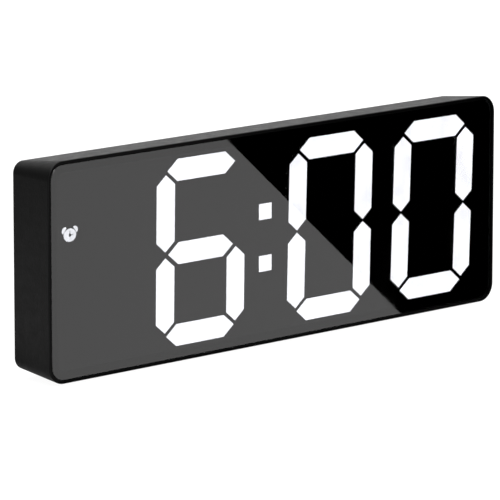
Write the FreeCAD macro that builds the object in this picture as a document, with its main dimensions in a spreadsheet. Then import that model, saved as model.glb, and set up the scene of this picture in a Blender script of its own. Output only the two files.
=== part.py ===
import FreeCAD, Part
import math, os
import Sketcher

# Slim mirror-faced LED alarm clock.
# Every piece is drawn lying on its back: local X runs across the clock, local Y runs up it and
# local Z ("level") runs from the outside of the back (0) to the front rim (body_depth).
# One placement then stands every piece up: the front faces -Y, +Z is up, and the origin is the
# middle of the footprint on the surface that the clock stands on. All lengths are millimetres.

doc = FreeCAD.newDocument("alarm_clock")
V = FreeCAD.Vector

# ---------------------------------------------------------------- driving dimensions
SIZES = [
    ("body_width", 185.0, "outside width at the front rim"),
    ("body_height", 65.0, "outside height at the front rim"),
    ("body_depth", 17.9, "front rim to back face"),
    ("draft_run", 2.02, "how far each side wall leans in from front to back"),
    ("corner_front", 5.5, "corner radius of the front outline"),
    ("edge_front", 0.35, "rounding of the front rim's outer edge"),
    ("edge_back", 0.8, "rounding of the back's outer edge"),
    ("rim_wide", 1.0, "front rim width"),
    ("panel_gap", 0.1, "gap between the panel and the rim"),
    ("panel_thick", 1.5, "front panel thickness"),
    ("panel_inset", 0.1, "how far the panel's face lies behind the rim"),
    ("tape_thick", 0.1, "adhesive tape thickness"),
    ("ledge_x", 88.4, "half width of the opening in the panel ledge"),
    ("ledge_y", 28.7, "half height of the opening in the panel ledge"),
    ("wall_front", 1.9, "side wall thickness beside the board"),
    ("wall_back", 2.6, "side wall thickness at the cover seat"),
    ("cover_thick", 1.8, "rear cover thickness"),
    ("cover_gap", 0.2, "gap round the rear cover"),
    ("cover_x", 89.1, "half width of the rear recess"),
    ("cover_y", 29.1, "half height of the rear recess"),
    ("board_face", 13.8, "level of the board's front face"),
    ("board_thick", 1.0, "board thickness"),
    ("reflector_thick", 2.2, "light box thickness"),
    ("mask_thick", 0.15, "segment mask film thickness"),
    ("lens_deep", 1.55, "depth of the diffusing segment fillings"),
    ("case_screw_x", 84.2, "case screws from the middle, across"),
    ("case_screw_y", 24.2, "case screws from the middle, up"),
    ("case_boss_r", 3.0, "case screw boss radius"),
    ("case_pilot_r", 1.15, "case screw pilot hole radius"),
    ("case_shank_r", 1.1, "case screw shank radius"),
    ("case_head_r", 2.2, "case screw head radius"),
    ("case_bore_r", 2.5, "screw head counterbore radius"),
    ("case_bore_deep", 2.2, "screw head counterbore depth"),
    ("post_r", 2.5, "board post radius"),
    ("board_shank_r", 0.98, "board screw shank radius"),
    ("board_pilot_r", 1.05, "board post pilot hole radius"),
    ("board_head_r", 2.0, "board screw head radius"),
    ("access_r", 2.6, "hole in the light box over each board screw"),
    ("stroke_x", 7.22, "width of the upright segments"),
    ("stroke_y", 6.52, "height of the level segments"),
    ("mitre", 0.81, "slope of the segments' mitred ends"),
    ("tip_corner", 0.55, "how far the level segments' tips stop short of a corner"),
    ("tip_post", 1.05, "how far the upright segments' tips stop short of a corner"),
    ("tip_bar", 1.15, "how far the middle bar's tips stop short of the uprights"),
    ("digit_one_x", -76.4, "centre of the leading place, which has room for a one only"),
    ("digit_hour_x", -32.04, "centre of the hour digit"),
    ("digit_ten_x", 21.47, "centre of the tens-of-minutes digit"),
    ("digit_unit_x", 65.84, "centre of the minutes digit"),
    ("digit_one_half", 13.95, "leading place, from its middle to its upright segments"),
    ("digit_one_lean", 0.014, "leading place, lean across per unit up"),
    ("digit_one_top", 56.85, "leading place, level of the top bar"),
    ("digit_one_mid", 32.1, "leading place, level of the middle"),
    ("digit_one_low", 7.75, "leading place, level of the bottom bar"),
    ("digit_one_tip", 0.9, "leading place, how far upright tips stop short of the middle"),
    ("digit_hour_half", 14.17, "hour digit, from its middle to its upright segments"),
    ("digit_hour_lean", 0.014, "hour digit, lean across per unit up"),
    ("digit_hour_top", 56.80, "hour digit, level of the top bar"),
    ("digit_hour_mid", 32.08, "hour digit, level of the middle bar"),
    ("digit_hour_low", 7.75, "hour digit, level of the bottom bar"),
    ("digit_hour_tip", 0.9, "hour digit, how far upright tips stop short of the middle"),
    ("digit_ten_half", 13.95, "tens digit, from its middle to its upright segments"),
    ("digit_ten_lean", 0.026, "tens digit, lean across per unit up"),
    ("digit_ten_top", 56.92, "tens digit, level of the top bar"),
    ("digit_ten_mid", 32.3, "tens digit, level of the middle bar"),
    ("digit_ten_low", 7.9, "tens digit, level of the bottom bar"),
    ("digit_ten_tip", 0.35, "tens digit, how far upright tips stop short of the middle"),
    ("digit_unit_half", 13.77, "minutes digit, from its middle to its upright segments"),
    ("digit_unit_lean", 0.036, "minutes digit, lean across per unit up"),
    ("digit_unit_top", 56.96, "minutes digit, level of the top bar"),
    ("digit_unit_mid", 32.5, "minutes digit, level of the middle bar"),
    ("digit_unit_low", 8.2, "minutes digit, level of the bottom bar"),
    ("digit_unit_tip", 0.35, "minutes digit, how far upright tips stop short of the middle"),
    ("colon_x", -5.7, "centre of the colon"),
    ("colon_up", 40.1, "upper colon dot"),
    ("colon_down", 24.4, "lower colon dot"),
    ("colon_wide", 5.2, "colon dot width"),
    ("colon_high", 4.8, "colon dot height"),
    ("icon_x", -83.4, "centre of the alarm symbol"),
    ("icon_y", 42.9, "centre of the alarm symbol"),
    ("icon_wide", 4.8, "alarm symbol dial width"),
    ("icon_high", 3.8, "alarm symbol dial height"),
    ("window_gap", 0.03, "play between a segment filling and its window"),
    ("bay_x", 25.2, "half length inside the battery bay"),
    ("bay_low", 9.2, "bottom inside the battery bay"),
    ("bay_high", 42.0, "top inside the battery bay"),
    ("bay_wall", 1.0, "battery bay wall thickness"),
    ("bay_floor", 11.9, "level of the bay's floor"),
    ("bay_floor_thick", 0.7, "bay floor thickness"),
    ("door_x", 27.0, "half width of the battery door"),
    ("door_low", 7.5, "bottom edge of the battery door"),
    ("door_high", 43.8, "top edge of the battery door"),
    ("door_thick", 1.2, "battery door thickness"),
    ("tab_x", 14.0, "battery door tabs from the middle"),
    ("tab_wide", 6.5, "battery door tab width"),
    ("cell_r", 5.15, "radius of an AAA cell"),
    ("cell_long", 44.5, "length of an AAA cell with its button"),
    ("cell_level", 6.55, "level of the cells' axes"),
    ("cell_first", 14.8, "height of the lowest cell's axis"),
    ("cell_pitch", 10.8, "spacing of the cells"),
    ("plate_thick", 0.35, "contact plate thickness"),
    ("dimple", 0.6, "height of a positive contact's dimple"),
    ("button_y", 54.0, "height of the button row"),
    ("button_first", 14.0, "first button from the middle"),
    ("button_pitch", 14.0, "spacing of the buttons"),
    ("button_long", 8.0, "button cap length"),
    ("button_high", 4.6, "button cap height"),
    ("button_proud", 0.7, "how far a button stands out of the back"),
    ("button_play", 0.2, "gap round a button"),
    ("button_travel", 0.3, "how far a button is pressed"),
    ("sign_deep", 0.25, "depth of the signs on the caps and the door"),
    ("switch_side", 6.0, "side of a tactile switch"),
    ("switch_tall", 3.5, "height of a tactile switch's case"),
    ("plunger_r", 1.7, "radius of a switch plunger"),
    ("plunger_end", 7.0, "level where the plunger meets the cap"),
    ("buzzer_x", -50.0, "buzzer from the middle"),
    ("buzzer_y", 44.0, "buzzer height"),
    ("buzzer_r", 6.0, "buzzer radius"),
    ("buzzer_tall", 9.5, "buzzer height off the board"),
    ("sound_hole_r", 0.8, "sound hole radius"),
    ("sound_ring_r", 3.2, "radius of the ring of sound holes"),
    ("inlet_x", -56.0, "power inlet from the middle"),
    ("inlet_y", 16.0, "power inlet height"),
    ("inlet_wide", 8.94, "power inlet shell width"),
    ("inlet_high", 3.26, "power inlet shell height"),
    ("inlet_level", 0.5, "level of the power inlet's mouth"),
    ("foot_rise", 0.25, "height of the feet below the front rim"),
    ("foot_x", 62.0, "feet from the middle"),
    ("foot_long", 24.0, "foot length"),
    ("foot_back", 3.0, "level of a foot's back end"),
    ("foot_front", 15.0, "level of a foot's front end"),
    ("back_level", 8.6, "where the back face stands behind the origin"),
]
sheet = doc.addObject("Spreadsheet::Sheet", "dims")
sheet.set("A1", "dimension")
sheet.set("B1", "value")
sheet.set("C1", "meaning")
for i, (name, value, note) in enumerate(SIZES, start=2):
    sheet.set("A%d" % i, name)
    sheet.set("B%d" % i, repr(value))
    sheet.setAlias("B%d" % i, name)
    sheet.set("C%d" % i, note)
doc.recompute()


class Q:
    """A number together with the sheet expression that gives it."""

    def __init__(self, value, text):
        self.value, self.text = float(value), text

    @staticmethod
    def of(x):
        return x if isinstance(x, Q) else Q(x, repr(round(float(x), 6)) if x >= 0 else "(%r)" % round(float(x), 6))

    def __add__(self, o):
        o = Q.of(o)
        return Q(self.value + o.value, "(%s + %s)" % (self.text, o.text))

    def __radd__(self, o):
        return Q.of(o) + self

    def __sub__(self, o):
        o = Q.of(o)
        return Q(self.value - o.value, "(%s - %s)" % (self.text, o.text))

    def __rsub__(self, o):
        return Q.of(o) - self

    def __mul__(self, o):
        o = Q.of(o)
        return Q(self.value * o.value, "(%s * %s)" % (self.text, o.text))

    __rmul__ = __mul__

    def __truediv__(self, o):
        o = Q.of(o)
        return Q(self.value / o.value, "(%s / %s)" % (self.text, o.text))

    def __neg__(self):
        return Q(-self.value, "(0 - %s)" % self.text)


def S(name):
    return Q(float(sheet.get(name)), "dims." + name)


W, H, D = S("body_width"), S("body_height"), S("body_depth")
MID = H / 2
nodes = []
counter = [0]


def bind(obj, prop, q):
    obj.setExpression(prop, Q.of(q).text)


def uid(stem):
    counter[0] += 1
    return "%s_%03d" % (stem, counter[0])


def stand(obj):
    """Stands a piece that was drawn on its back upright behind the origin."""
    obj.Placement = FreeCAD.Placement(
        V(0, S("back_level").value, S("foot_rise").value), FreeCAD.Rotation(V(1, 0, 0), 90)
    )
    obj.setExpression("Placement.Base.y", "dims.back_level")
    obj.setExpression("Placement.Base.z", "dims.foot_rise")


def body(label):
    b = doc.addObject("PartDesign::Body", "body_" + label)
    b.Label = label
    if hasattr(b, "AllowCompound"):
        b.AllowCompound = True
    stand(b)
    nodes.append(b)
    return b


def sketch(b, level=0, plane="XY_Plane", x=None, y=None):
    s = b.newObject("Sketcher::SketchObject", uid("sketch"))
    s.AttachmentSupport = [([o for o in b.Origin.OriginFeatures if o.Role == plane][0], "")]
    s.MapMode = "FlatFace"
    bind(s, "AttachmentOffset.Base.z", level)
    if x is not None:
        bind(s, "AttachmentOffset.Base.x", x)
    if y is not None:
        bind(s, "AttachmentOffset.Base.y", y)
    return s


def apply(s, shape_rules, sized):
    """Adds a shape's constraints in one go, then binds the ones that carry a size to the sheet."""
    first = s.ConstraintCount
    s.addConstraint(shape_rules + [c for c, q in sized])
    for n, (c, q) in enumerate(sized, start=first + len(shape_rules)):
        s.setExpression("Constraints[%d]" % n, q.text)


def fix(geo, point, x, y):
    """Holds one point of a sketch at sheet-driven coordinates."""
    return [(Sketcher.Constraint(kind, -1, 1, geo, point, q.value), q)
            for kind, q in (("DistanceX", Q.of(x)), ("DistanceY", Q.of(y)))]


def radius(geo, q):
    q = Q.of(q)
    return [(Sketcher.Constraint("Radius", geo, q.value), q)]


def polygon(s, pts):
    pts = [(Q.of(x), Q.of(y)) for x, y in pts]
    n = len(pts)
    vs = [V(x.value, y.value, 0) for x, y in pts]
    g = s.addGeometry([Part.LineSegment(vs[i], vs[(i + 1) % n]) for i in range(n)], False)
    apply(s, [Sketcher.Constraint("Coincident", g[i], 2, g[(i + 1) % n], 1) for i in range(n)],
          [c for i in range(n) for c in fix(g[i], 1, *pts[i])])


def rect(s, x0, y0, x1, y1):
    polygon(s, [(x0, y0), (x1, y0), (x1, y1), (x0, y1)])


def circle(s, x, y, r):
    x, y, r = Q.of(x), Q.of(y), Q.of(r)
    g = s.addGeometry(Part.Circle(V(x.value, y.value, 0), V(0, 0, 1), r.value), False)
    apply(s, [], fix(g, 3, x, y) + radius(g, r))


def rounded(s, cx, cy, hx, hy, r):
    """A rectangle of half sizes hx, hy with rounded corners."""
    cx, cy, hx, hy, r = map(Q.of, (cx, cy, hx, hy, r))
    corners = [(cx + hx - r, cy + hy - r, 0), (cx - hx + r, cy + hy - r, 90),
               (cx - hx + r, cy - hy + r, 180), (cx + hx - r, cy - hy + r, 270)]
    arcs = []
    for x, y, a in corners:
        c = Part.Circle(V(x.value, y.value, 0), V(0, 0, 1), r.value)
        arcs.append(Part.ArcOfCircle(c, math.radians(a), math.radians(a + 90)))
    lines = [Part.LineSegment(arcs[i].EndPoint, arcs[(i + 1) % 4].StartPoint) for i in range(4)]
    ga = s.addGeometry(arcs, False)
    gl = s.addGeometry(lines, False)
    touch, sized = [], []
    for i in range(4):
        touch += [Sketcher.Constraint("Tangent", ga[i], 2, gl[i], 1),
                  Sketcher.Constraint("Tangent", gl[i], 2, ga[(i + 1) % 4], 1)]
        sized += fix(ga[i], 3, corners[i][0], corners[i][1]) + radius(ga[i], r)
    apply(s, touch, sized)


def stadium(s, cx, cy, hx, hy):
    """A slot of half length hx and half height hy with round ends."""
    cx, cy, hx, hy = map(Q.of, (cx, cy, hx, hy))
    ends = [(cx + hx - hy, cy, -90), (cx - hx + hy, cy, 90)]
    arcs = []
    for x, y, a in ends:
        c = Part.Circle(V(x.value, y.value, 0), V(0, 0, 1), hy.value)
        arcs.append(Part.ArcOfCircle(c, math.radians(a), math.radians(a + 180)))
    lines = [Part.LineSegment(arcs[i].EndPoint, arcs[1 - i].StartPoint) for i in range(2)]
    ga = s.addGeometry(arcs, False)
    gl = s.addGeometry(lines, False)
    touch, sized = [], []
    for i in range(2):
        touch += [Sketcher.Constraint("Tangent", ga[i], 2, gl[i], 1),
                  Sketcher.Constraint("Tangent", gl[i], 2, ga[1 - i], 1)]
        sized += fix(ga[i], 3, ends[i][0], ends[i][1]) + radius(ga[i], hy)
    apply(s, touch, sized)


def pad(b, s, length):
    """Adds material from the sketch's level towards the front."""
    p = b.newObject("PartDesign::Pad", uid("pad"))
    p.Profile = s
    bind(p, "Length", length)
    s.Visibility = False
    return p


cuts = []


def pocket(b, s, length):
    """Takes material away from the sketch's level towards the back."""
    base = b.Tip
    p = b.newObject("PartDesign::Pocket", uid("pocket"))
    p.Profile = s
    bind(p, "Length", length)
    s.Visibility = False
    cuts.append((p, base))
    return p


def revolve(b, s, axis):
    r = b.newObject("PartDesign::Revolution", uid("revolution"))
    r.Profile = s
    r.ReferenceAxis = (s, [axis])
    r.Angle = 360.0
    s.Visibility = False
    return r


def level_edges(feature, level, outer=None):
    """Names of the edges that lie wholly at one level, and, with outer, reach that far from the middle."""
    names = []
    for i, e in enumerate(feature.Shape.Edges, start=1):
        bb = e.BoundBox
        if abs(bb.ZMin - level) < 1e-4 and abs(bb.ZMax - level) < 1e-4:
            if outer is None or max(abs(bb.XMin), abs(bb.XMax)) > outer:
                names.append("Edge%d" % i)
    return names


def dress(b, kind, base, edges, q):
    f = b.newObject("PartDesign::" + kind, uid(kind.lower()))
    f.Base = (base, edges)
    bind(f, "Radius" if kind == "Fillet" else "Size", q)
    return f


# ---------------------------------------------------------------- levels
seat = D - S("panel_inset") - S("panel_thick") - S("tape_thick")     # front of the panel ledge
board_face = S("board_face")
board_back = board_face - S("board_thick")
block_face = board_face + S("reflector_thick")
mask_face = block_face + S("mask_thick")


def lean(level):
    """How far the outer wall has moved in at a level."""
    return S("draft_run") * (D - level) / D


# ---------------------------------------------------------------- housing: drafted ring, panel seat, screw bosses
b = body("housing")
s = sketch(b, 0)
rounded(s, 0, MID, W / 2 - S("draft_run"), MID - S("draft_run"), S("corner_front") - S("draft_run"))
shell = pad(b, s, D)
shell.setExpression("TaperAngle", "atan(dims.draft_run / dims.body_depth)")
doc.recompute()
f = dress(b, "Fillet", shell, level_edges(shell, 0.0), S("edge_back"))
doc.recompute()
f = dress(b, "Fillet", f, level_edges(f, D.value), S("edge_front"))
s = sketch(b, D)
rounded(s, 0, MID, W / 2 - S("rim_wide"), MID - S("rim_wide"), S("corner_front") - S("rim_wide"))
pocket(b, s, D - seat)
s = sketch(b, seat)
rounded(s, 0, MID, S("ledge_x"), S("ledge_y"), 2.0)
pocket(b, s, seat - board_face)
s = sketch(b, board_face)
off = lean(board_face) + S("wall_front")
rounded(s, 0, MID, W / 2 - off, MID - off, 3.6)
cavity = pocket(b, s, board_face - S("cover_thick"))
off = lean(S("cover_thick")) + S("wall_back") - off
cavity.setExpression("TaperAngle", "-atan(%s / %s)" % (off.text, (board_face - S("cover_thick")).text))
s = sketch(b, S("cover_thick"))
rounded(s, 0, MID, S("cover_x"), S("cover_y"), 2.2)
pocket(b, s, S("cover_thick") + 1.0)
CX, CY = S("case_screw_x"), S("case_screw_y")
boss_low = S("cover_thick") + 1.7
boss_top = board_back - 0.5
s = sketch(b, boss_low)
for sx in (-1, 1):
    for sy in (-1, 1):
        circle(s, CX * sx, MID + CY * sy, S("case_boss_r"))
pad(b, s, boss_top - boss_low)
s = sketch(b, boss_low + 1.0)
for sx in (-1, 1):
    for sy in (-1, 1):
        x0, x1 = CX + 1.5, CX + 6.1
        lo, hi = (x0 * sx, x1 * sx) if sx > 0 else (x1 * sx, x0 * sx)
        y = MID + CY * sy
        rect(s, lo, y - 0.6, hi, y + 0.6)
pad(b, s, boss_top - boss_low - 1.0)
s = sketch(b, boss_low + 1.0)
for sx in (-1, 1):
    for sy in (-1, 1):
        y0, y1 = CY + 1.5, CY + 6.1
        lo, hi = (MID + y0 * sy, MID + y1 * sy) if sy > 0 else (MID + y1 * sy, MID + y0 * sy)
        x = CX * sx
        rect(s, x - 0.6, lo, x + 0.6, hi)
pad(b, s, boss_top - boss_low - 1.0)
s = sketch(b, boss_top - 2.0)
for sx in (-1, 1):
    for sy in (-1, 1):
        circle(s, CX * sx, MID + CY * sy, S("case_pilot_r"))
pocket(b, s, boss_top - 2.0 - boss_low + 0.5)

# ---------------------------------------------------------------- front panel and its tape
b = body("front_panel")
s = sketch(b, seat + S("tape_thick"))
off = S("rim_wide") + S("panel_gap")
rounded(s, 0, MID, W / 2 - off, MID - off, S("corner_front") - off)
p = pad(b, s, S("panel_thick"))
doc.recompute()
dress(b, "Chamfer", p, level_edges(p, (seat + S("tape_thick") + S("panel_thick")).value), 0.15)

b = body("panel_tape")
s = sketch(b, seat)
rounded(s, 0, MID, W / 2 - off - 0.3, MID - off - 0.3, S("corner_front") - off - 0.3)
rounded(s, 0, MID, S("ledge_x") + 0.2, S("ledge_y") + 0.2, 2.2)
pad(b, s, S("tape_thick"))


# ---------------------------------------------------------------- display
def segment(place, which, grow=0.0):
    """The six corners of one display segment, grown all round by grow."""
    name = place[:-2]
    a, mid = S(name + "_half"), S(name + "_mid")
    top, low = S(name + "_top"), S(name + "_low")
    slope = S("mitre")
    hx, hy = S("stroke_x") / 2 + grow, S("stroke_y") / 2 + grow
    # how far the tips reach at either end: along a level segment, and up an upright one
    bx, py = hy / slope, hx * slope
    m = slope.value
    along, up = grow * math.sqrt(1.0 + m * m) / m, grow * math.sqrt(1.0 + m * m)
    dc, dg = S("tip_corner") - along, S("tip_bar") - along
    dv, dm = S("tip_post") - up, S(name + "_tip") - up

    def bar(x0, x1, y):
        return [(x0, y), (x0 + bx, y - hy), (x1 - bx, y - hy), (x1, y), (x1 - bx, y + hy), (x0 + bx, y + hy)]

    def post(x, y0, y1):
        return [(x, y0), (x + hx, y0 + py), (x + hx, y1 - py), (x, y1), (x - hx, y1 - py), (x - hx, y0 + py)]

    shape = {
        "a": lambda: bar(-a + dc, a - dc, top),
        "d": lambda: bar(-a + dc, a - dc, low),
        "g": lambda: bar(-a + dg, a - dg, mid),
        "f": lambda: post(-a, mid + dm, top - dv),
        "b": lambda: post(a, mid + dm, top - dv),
        "e": lambda: post(-a, low + dv, mid - dm),
        "c": lambda: post(a, low + dv, mid - dm),
    }[which]()
    cx = S(place)
    return [(cx + x + S(name + "_lean") * (y - MID), y) for x, y in shape]


LIT = {"digit_hour_x": "acdefg", "digit_ten_x": "abcdef", "digit_unit_x": "abcdef"}
DARK = {"digit_one_x": "bc", "digit_hour_x": "b", "digit_ten_x": "g", "digit_unit_x": "g"}


def colon(grow=0.0):
    hx, hy = S("colon_wide") / 2 + grow, S("colon_high") / 2 + grow
    x = S("colon_x")
    return [[(x - hx, y - hy), (x + hx, y - hy), (x + hx, y + hy), (x - hx, y + hy)]
            for y in (S("colon_up"), S("colon_down"))]


def dial(grow=0.0):
    """The alarm symbol's dial, a slightly flattened round drawn with 32 sides."""
    rx, ry = S("icon_wide") / 2 + grow, S("icon_high") / 2 + grow
    return [(S("icon_x") + rx * math.cos(math.pi / 16 * i), S("icon_y") + ry * math.sin(math.pi / 16 * i))
            for i in range(32)]


def bells(grow=0.0):
    """The two bells of the alarm symbol: half-round domes, flat side to the dial."""
    x, y = S("icon_x"), S("icon_y")
    out = []
    for side in (-1, 1):
        # the dome points away from the dial, up and outwards
        ux, uy = 0.788 * side, 0.616
        cx, cy = x + 1.95 * side, y + 1.37
        r = 1.10 + grow
        pts = []
        for i in range(13):
            t = math.pi / 12 * i - math.pi / 2
            p, q = r * math.cos(t), r * math.sin(t)
            pts.append((cx + (ux * p - uy * q), cy + (uy * p + ux * q)))
        # the flat side moves back by grow
        first, last = pts[0], pts[-1]
        if grow:
            pts = [(first[0] - ux * grow, first[1] - uy * grow)] + pts + [(last[0] - ux * grow, last[1] - uy * grow)]
        out.append(pts)
    return out


lens_low = mask_face - S("lens_deep")
for label, place in (("hour_segments", "digit_hour_x"), ("minute_tens_segments", "digit_ten_x"),
                     ("minute_units_segments", "digit_unit_x")):
    b = body(label)
    s = sketch(b, lens_low)
    for k in LIT[place]:
        polygon(s, segment(place, k))
    pad(b, s, S("lens_deep"))

b = body("unlit_segments")
s = sketch(b, lens_low)
for place, ks in DARK.items():
    for k in ks:
        polygon(s, segment(place, k))
pad(b, s, S("lens_deep"))

b = body("colon_dots")
s = sketch(b, lens_low)
for pts in colon():
    polygon(s, pts)
pad(b, s, S("lens_deep"))

# twin-bell alarm symbol: a dial with two bells
b = body("alarm_symbol")
s = sketch(b, lens_low)
for pts in [dial()] + bells():
    polygon(s, pts)
pad(b, s, S("lens_deep"))


def windows(b, level, depth):
    """Cuts an opening for every segment, dot and symbol, one sketch for each place of the display."""
    grow = S("window_gap").value
    for place in ("digit_one_x", "digit_hour_x", "digit_ten_x", "digit_unit_x"):
        s = sketch(b, level)
        for k in LIT.get(place, "") + DARK.get(place, ""):
            polygon(s, segment(place, k, grow))
        pocket(b, s, depth)
    s = sketch(b, level)
    for pts in colon(grow) + [dial(grow)] + bells(grow):
        polygon(s, pts)
    pocket(b, s, depth)


POSTS = [(-73.0, 54.0), (-73.0, 11.0), (-5.2, 52.5), (66.5, 46.5), (66.5, 18.5)]
PINS = [(-54.4, 56.0), (-54.4, 9.0), (-5.2, 6.6), (44.2, 58.8), (44.2, 9.0)]
for tag, pts in (("post", POSTS), ("pin", PINS)):
    for i, (x, y) in enumerate(pts):
        row = len(SIZES) + 3 + i + (0 if tag == "post" else len(POSTS))
        sheet.set("A%d" % row, "%s %d across and up" % (tag, i + 1))
        sheet.set("B%d" % row, repr(x))
        sheet.setAlias("B%d" % row, "%s_%d_x" % (tag, i + 1))
        sheet.set("D%d" % row, repr(y))
        sheet.setAlias("D%d" % row, "%s_%d_y" % (tag, i + 1))
doc.recompute()
posts = [(S("post_%d_x" % (i + 1)), S("post_%d_y" % (i + 1))) for i in range(len(POSTS))]
pins = [(S("pin_%d_x" % (i + 1)), S("pin_%d_y" % (i + 1))) for i in range(len(PINS))]

# black film with clear windows
b = body("segment_mask")
s = sketch(b, block_face)
rounded(s, 0, MID, S("ledge_x") - 0.15, S("ledge_y") - 0.15, 1.85)
pad(b, s, S("mask_thick"))
windows(b, mask_face, S("mask_thick") + 0.1)

# white light box: one open cell behind every segment, pins staked through the board
b = body("light_box")
s = sketch(b, board_face)
rounded(s, 0, MID, S("ledge_x") - 0.15, S("ledge_y") - 0.15, 1.85)
pad(b, s, S("reflector_thick"))
s = sketch(b, board_face - 1.6)
for x, y in pins:
    circle(s, x, y, 0.75)
pad(b, s, 2.0)
windows(b, block_face, S("reflector_thick") + 0.1)
s = sketch(b, block_face)
for x, y in posts:
    circle(s, x, y, S("access_r"))
pocket(b, s, S("reflector_thick") + 0.1)

# ---------------------------------------------------------------- main board and what is on it
b = body("main_board")
s = sketch(b, board_back)
rounded(s, 0, MID, S("ledge_x") + 1.2, S("ledge_y") + 0.9, 2.4)
pad(b, s, S("board_thick"))
s = sketch(b, board_face)
for x, y in posts:
    circle(s, x, y, 1.2)
for x, y in pins:
    circle(s, x, y, 0.8)
pocket(b, s, S("board_thick") + 0.1)


def blocks(label, boxes, level, tall, behind=True):
    """Small surface-mounted pieces: rectangles on the board's back, or its front when behind is off."""
    b = body(label)
    s = sketch(b, level - tall if behind else level)
    for cx, cy, wx, wy in boxes:
        cx, cy, wx, wy = map(Q.of, (cx, cy, wx, wy))
        rect(s, cx - wx / 2, cy - wy / 2, cx + wx / 2, cy + wy / 2)
    pad(b, s, tall)
    return b


def centre(place, k):
    pts = segment(place, k)
    return (sum(p[0].value for p in pts) / 6.0, sum(p[1].value for p in pts) / 6.0)


# two white chips behind every segment, one behind each dot and the symbol
spots = []
for table in (LIT, DARK):
    for place, ks in table.items():
        for k in ks:
            x, y = centre(place, k)
            d = 6.0 if k in "adg" else 0.0
            e = 0.0 if k in "adg" else 5.5
            spots += [(x - d, y - e), (x + d, y + e)]
spots += [(S("colon_x").value, S("colon_up").value), (S("colon_x").value, S("colon_down").value),
          (S("icon_x").value, S("icon_y").value)]
chips = doc.addObject("Part::Feature", "led_chips")
chips.Label = "led_chips"
chips.Shape = Part.makeCompound([
    Part.makeBox(1.0 if i == len(spots) - 1 else 1.6, 0.8, 0.6,
                 V(x - (0.5 if i == len(spots) - 1 else 0.8), y - 0.4, board_face.value))
    for i, (x, y) in enumerate(spots)])
stand(chips)
nodes.append(chips)

# clock controller: moulded package with gull-wing leads
b = blocks("controller_chip", [(48.0, 31.0, 17.8, 7.4)], board_back - 0.15, 2.3)
s = sketch(b, board_back - 0.3)
for i in range(14):
    x = 48.0 + (i - 6.5) * 1.27
    for y0, y1 in ((25.8, 27.5), (34.5, 36.2)):
        rect(s, x - 0.2, y0, x + 0.2, y1)
pad(b, s, 0.3)

blocks("driver_transistors", [(34.0 + 4.2 * i, 44.0, 2.9, 1.5) for i in range(6)], board_back, 1.1)
blocks("chip_resistors", [(33.0 + 2.8 * i, 39.6, 1.6, 0.8) for i in range(10)]
       + [(-66.0, 34.0 + 2.2 * i, 1.6, 0.8) for i in range(4)], board_back, 0.5)
blocks("chip_capacitors", [(62.0, 28.0 + 2.6 * i, 2.0, 1.25) for i in range(3)]
       + [(-40.0, 12.0 + 2.8 * i, 2.0, 1.25) for i in range(3)], board_back, 0.9)

b = body("clock_crystal")
s = sketch(b, board_back - 1.05, x=Q.of(36.0), y=Q.of(20.0))
polygon(s, [(0, 0), (0, 1.0), (6.0, 1.0), (6.0, 0)])
revolve(b, s, "H_Axis")

b = body("filter_capacitor")
s = sketch(b, board_back - 7.7)
circle(s, -62.0, 27.5, 3.15)
pad(b, s, 6.9)
s = sketch(b, board_back - 0.8)
rounded(s, -62.0, 27.5, 3.3, 3.3, 0.6)
pad(b, s, 0.8)

b = body("buzzer")
s = sketch(b, board_back - S("buzzer_tall"))
circle(s, S("buzzer_x"), S("buzzer_y"), S("buzzer_r"))
pad(b, s, S("buzzer_tall"))
s = sketch(b, board_back - S("buzzer_tall") + 1.5)
circle(s, S("buzzer_x"), S("buzzer_y"), 1.3)
pocket(b, s, 2.0)

# power inlet: upright socket with a rounded metal shell and a plastic tongue
IX, IY, IW, IH, IL = S("inlet_x"), S("inlet_y"), S("inlet_wide"), S("inlet_high"), S("inlet_level")
b = body("inlet_shell")
s = sketch(b, IL)
stadium(s, IX, IY, IW / 2, IH / 2)
pad(b, s, board_back - IL)
s = sketch(b, IL + 6.2)
stadium(s, IX, IY, IW / 2 - 0.3, IH / 2 - 0.3)
pocket(b, s, 6.3)
b = body("inlet_tongue")
s = sketch(b, IL + 0.7)
rect(s, IX - 3.35, IY - 0.35, IX + 3.35, IY + 0.35)
pad(b, s, 5.5)

# ---------------------------------------------------------------- buttons, plungers and switches
BUTTONS = ["mode_button", "set_button", "up_button", "down_button"]
PLUNGERS = ["mode_plunger", "set_plunger", "up_plunger", "down_plunger"]
BY = S("button_y")
ST = S("switch_tall")


def button_x(i):
    return S("button_first") + S("button_pitch") * i


b = body("tact_switches")
s = sketch(b, board_back - ST)
for i in range(4):
    x = button_x(i)
    h2 = S("switch_side") / 2
    rounded(s, x, BY, h2, h2, 0.4)
pad(b, s, ST)
s = sketch(b, board_back - ST + 1.1)
for i in range(4):
    circle(s, button_x(i), BY, S("plunger_r") + 0.15)
pocket(b, s, 1.3)

for i, label in enumerate(PLUNGERS):
    b = body(label)
    s = sketch(b, S("plunger_end"))
    circle(s, button_x(i), BY, S("plunger_r"))
    pad(b, s, board_back - ST + 0.6 - S("plunger_end"))

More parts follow.
